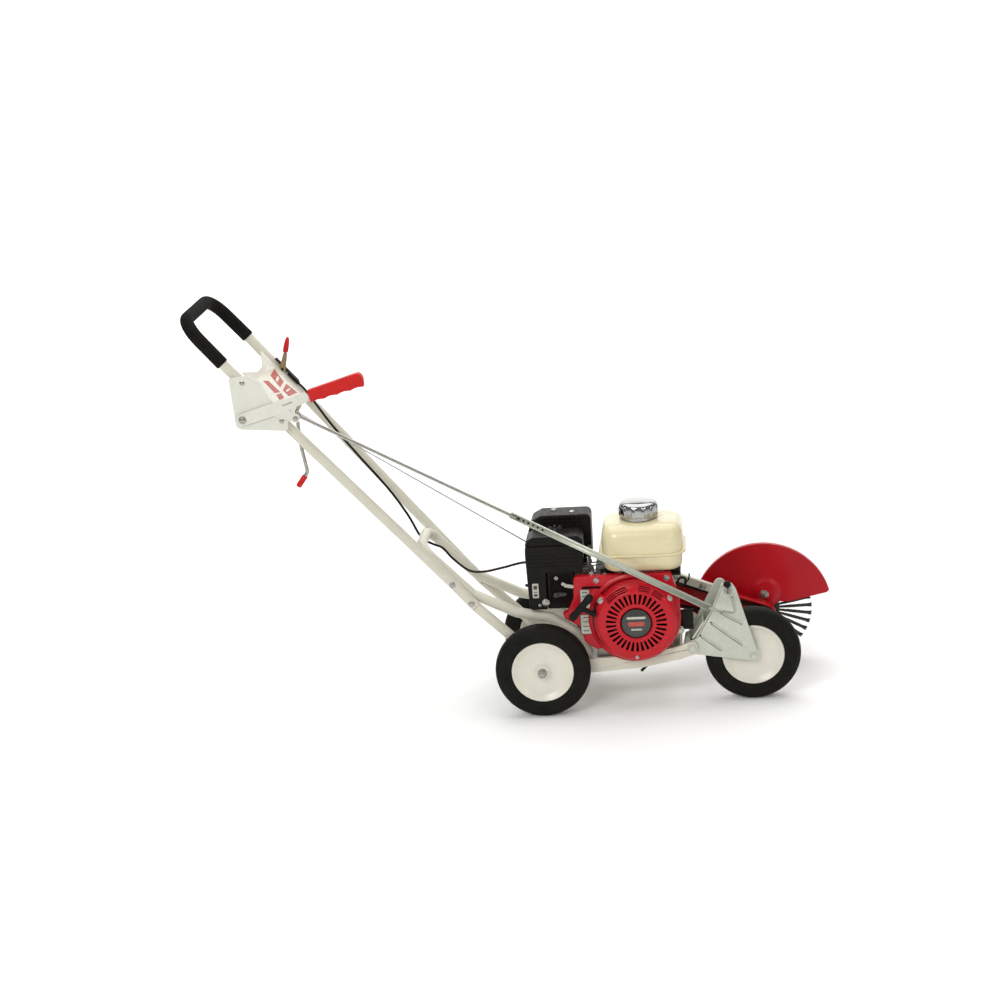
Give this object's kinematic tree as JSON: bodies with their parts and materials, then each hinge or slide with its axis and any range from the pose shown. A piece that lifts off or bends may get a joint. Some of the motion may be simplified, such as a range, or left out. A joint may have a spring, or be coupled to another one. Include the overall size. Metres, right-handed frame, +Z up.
{
  "type": "lawn edger",
  "caption": "Walk-behind edger with a U-shaped tube handle, a small petrol engine, a belt-driven wire brush under a round guard, and a hand lever that sets the working height.",
  "frame": {"origin": "on the ground straight below the rear axle, midway between the engine's two sides", "axes": "+X forward, the way the machine is pushed; +Y to the machine's left, the brush side; +Z up"},
  "size_m": [1.3275, 0.368, 0.9034],
  "materials": {
    "cream_paint": "gloss cream paint",
    "pale_zinc": "pale zinc plating",
    "bright_steel": "bright zinc plating",
    "red_paint": "gloss red paint",
    "engine_red": "gloss red paint",
    "tank_cream": "gloss warm cream paint",
    "black_plastic": "satin black",
    "black_paint": "satin black paint",
    "black_rubber": "matt",
    "tyre": "matt",
    "foam": "matt foam",
    "white_rim": "gloss off-white paint",
    "cast_aluminium": "as cast",
    "red_vinyl": "dipped vinyl",
    "dark_steel": "dark, oiled",
    "brass_zinc": "yellow plating"
  },
  "bodies": {
    "frame": {"air_cleaner": "black_plastic", "axle_leg_far": "cream_paint", "axle_leg_near": "cream_paint", "belt_guard": "red_paint", "blower_housing": "engine_red", "brush_guard": "red_paint", "carburettor": "cast_aluminium", "control_box": "black_plastic", "control_panel": "cream_paint", "control_plate": "pale_zinc", "crankcase": "cast_aluminium", "cylinder_head": "cast_aluminium", "depth_lever_bolt": "bright_steel", "drive_belt": "black_rubber", "engine_plate": "cream_paint", "fork_pivot_bolt": "bright_steel", "frame_tube": "cream_paint", "fuel_tank": "tank_cream", "guard_bolt": "bright_steel", "hand_grip": "foam", "handle_tube": "cream_paint", "idler_arm_pin": "bright_steel", "muffler": "dark_steel", "muffler_guard": "black_paint", "rail_far": "cream_paint", "rail_near": "cream_paint", "rear_axle": "bright_steel", "recoil_cover": "engine_red", "spark_plug_cap": "black_rubber", "spindle_arm": "cream_paint", "throttle_bracket": "black_plastic", "throttle_cable": "black_plastic"},
    "wheel_near": {"rim_near": "white_rim", "tyre_near": "tyre"},
    "wheel_far": {"rim_far": "white_rim", "tyre_far": "tyre"},
    "fork": {"front_fork": "pale_zinc", "front_axle": "bright_steel"},
    "wheel_front": {"rim_front": "white_rim", "tyre_front": "tyre"},
    "depth_lever": {"depth_lever": "pale_zinc", "depth_lever_grip": "red_vinyl"},
    "depth_rod": {"depth_rod": "bright_steel"},
    "throttle_lever": {"throttle_lever": "brass_zinc", "throttle_tip": "red_vinyl"},
    "clutch_lever": {"clutch_lever": "bright_steel", "clutch_tip": "red_vinyl"},
    "clutch_rod": {"clutch_rod": "bright_steel"},
    "idler_arm": {"idler_arm": "dark_steel"},
    "idler_pulley": {"idler_pulley": "bright_steel"},
    "crank": {"crankshaft": "bright_steel", "drive_pulley": "dark_steel"},
    "spindle": {"spindle_shaft": "bright_steel", "driven_pulley": "dark_steel", "wire_brush": "dark_steel"},
    "starter_grip": {"starter_grip": "black_rubber"},
    "fuel_cap": {"fuel_cap": "bright_steel"},
    "wing_nut": {"wing_nut": "bright_steel"},
    "choke_lever": {"choke_lever": "bright_steel"},
    "fuel_lever": {"fuel_lever": "dark_steel"}
  },
  "joints": [
    {"name": "near_wheel_spin", "type": "hinge", "parent": "frame", "child": "wheel_near", "pos_m": [0, -0.115, 0.1016], "axis": [0, 1, 0], "continuous": true},
    {"name": "far_wheel_spin", "type": "hinge", "parent": "frame", "child": "wheel_far", "pos_m": [0, 0.129, 0.1016], "axis": [0, 1, 0], "continuous": true},
    {"name": "depth_lever_pivot", "type": "hinge", "parent": "frame", "child": "depth_lever", "pos_m": [-0.584, -0.1455, 0.685], "axis": [0, 1, 0], "range_deg": [-15, 10]},
    {"name": "depth_rod_pivot", "type": "hinge", "parent": "depth_lever", "child": "depth_rod", "pos_m": [-0.473, -0.12, 0.683], "axis": [0, 1, 0], "range_deg": [-12, 18]},
    {"name": "fork_pivot", "type": "hinge", "parent": "frame", "child": "fork", "pos_m": [0.318, 0, 0.127], "axis": [0, 1, 0], "range_deg": [-6, 4.5]},
    {"name": "front_wheel_spin", "type": "hinge", "parent": "fork", "child": "wheel_front", "pos_m": [0.446, -0.052, 0.1016], "axis": [0, 1, 0], "continuous": true},
    {"name": "throttle_lever_pivot", "type": "hinge", "parent": "frame", "child": "throttle_lever", "pos_m": [-0.544, 0.12, 0.73], "axis": [0, 1, 0], "range_deg": [-20, 25]},
    {"name": "clutch_lever_pivot", "type": "hinge", "parent": "frame", "child": "clutch_lever", "pos_m": [-0.47, -0.06, 0.705], "axis": [0, 1, 0], "range_deg": [0, 16], "stiffness_Nm_per_rad": 1.5, "springref_deg": -14.32},
    {"name": "clutch_rod_pivot", "type": "hinge", "parent": "clutch_lever", "child": "clutch_rod", "pos_m": [-0.486, -0.054, 0.674], "axis": [0, 1, 0], "range_deg": [-22, 4]},
    {"name": "idler_arm_pivot", "type": "hinge", "parent": "frame", "child": "idler_arm", "pos_m": [0.13, 0.122, 0.128], "axis": [0, 1, 0], "range_deg": [-10, 1]},
    {"name": "idler_pulley_spin", "type": "hinge", "parent": "idler_arm", "child": "idler_pulley", "pos_m": [0.2626, 0.138, 0.1085], "axis": [0, 1, 0], "continuous": true},
    {"name": "crankshaft_spin", "type": "hinge", "parent": "frame", "child": "crank", "pos_m": [0.203, 0.138, 0.201], "axis": [0, 1, 0], "continuous": true},
    {"name": "spindle_spin", "type": "hinge", "parent": "frame", "child": "spindle", "pos_m": [0.474, 0.138, 0.1125], "axis": [0, 1, 0], "continuous": true},
    {"name": "starter_pull", "type": "slide", "parent": "frame", "child": "starter_grip", "axis": [-0.7729, -0.3964, 0.4955], "range_m": [0, 0.5], "stiffness_N_per_m": 12},
    {"name": "fuel_cap_turn", "type": "hinge", "parent": "frame", "child": "fuel_cap", "pos_m": [0.216, -0.018, 0.4025], "axis": [0, 0, 1], "range_deg": [0, 90]},
    {"name": "wing_nut_turn", "type": "hinge", "parent": "frame", "child": "wing_nut", "pos_m": [0.038, -0.042, 0.3835], "axis": [0, 0, 1], "continuous": true},
    {"name": "choke_lever_pivot", "type": "hinge", "parent": "frame", "child": "choke_lever", "pos_m": [0.05, -0.069, 0.276], "axis": [0, 1, 0], "range_deg": [-60, 0]},
    {"name": "fuel_lever_pivot", "type": "hinge", "parent": "frame", "child": "fuel_lever", "pos_m": [0.034, -0.069, 0.252], "axis": [0, 1, 0], "range_deg": [0, 60]}
  ],
  "couplings": [
    {"joint": "fork_pivot", "follows": "depth_lever_pivot", "ratio": 0.3704},
    {"joint": "depth_rod_pivot", "follows": "depth_lever_pivot", "ratio": -1.0952},
    {"joint": "clutch_rod_pivot", "follows": "clutch_lever_pivot", "ratio": -0.9845},
    {"joint": "idler_arm_pivot", "follows": "clutch_lever_pivot", "ratio": -0.5796},
    {"joint": "spindle_spin", "follows": "crankshaft_spin", "ratio": 1.3636}
  ]
}
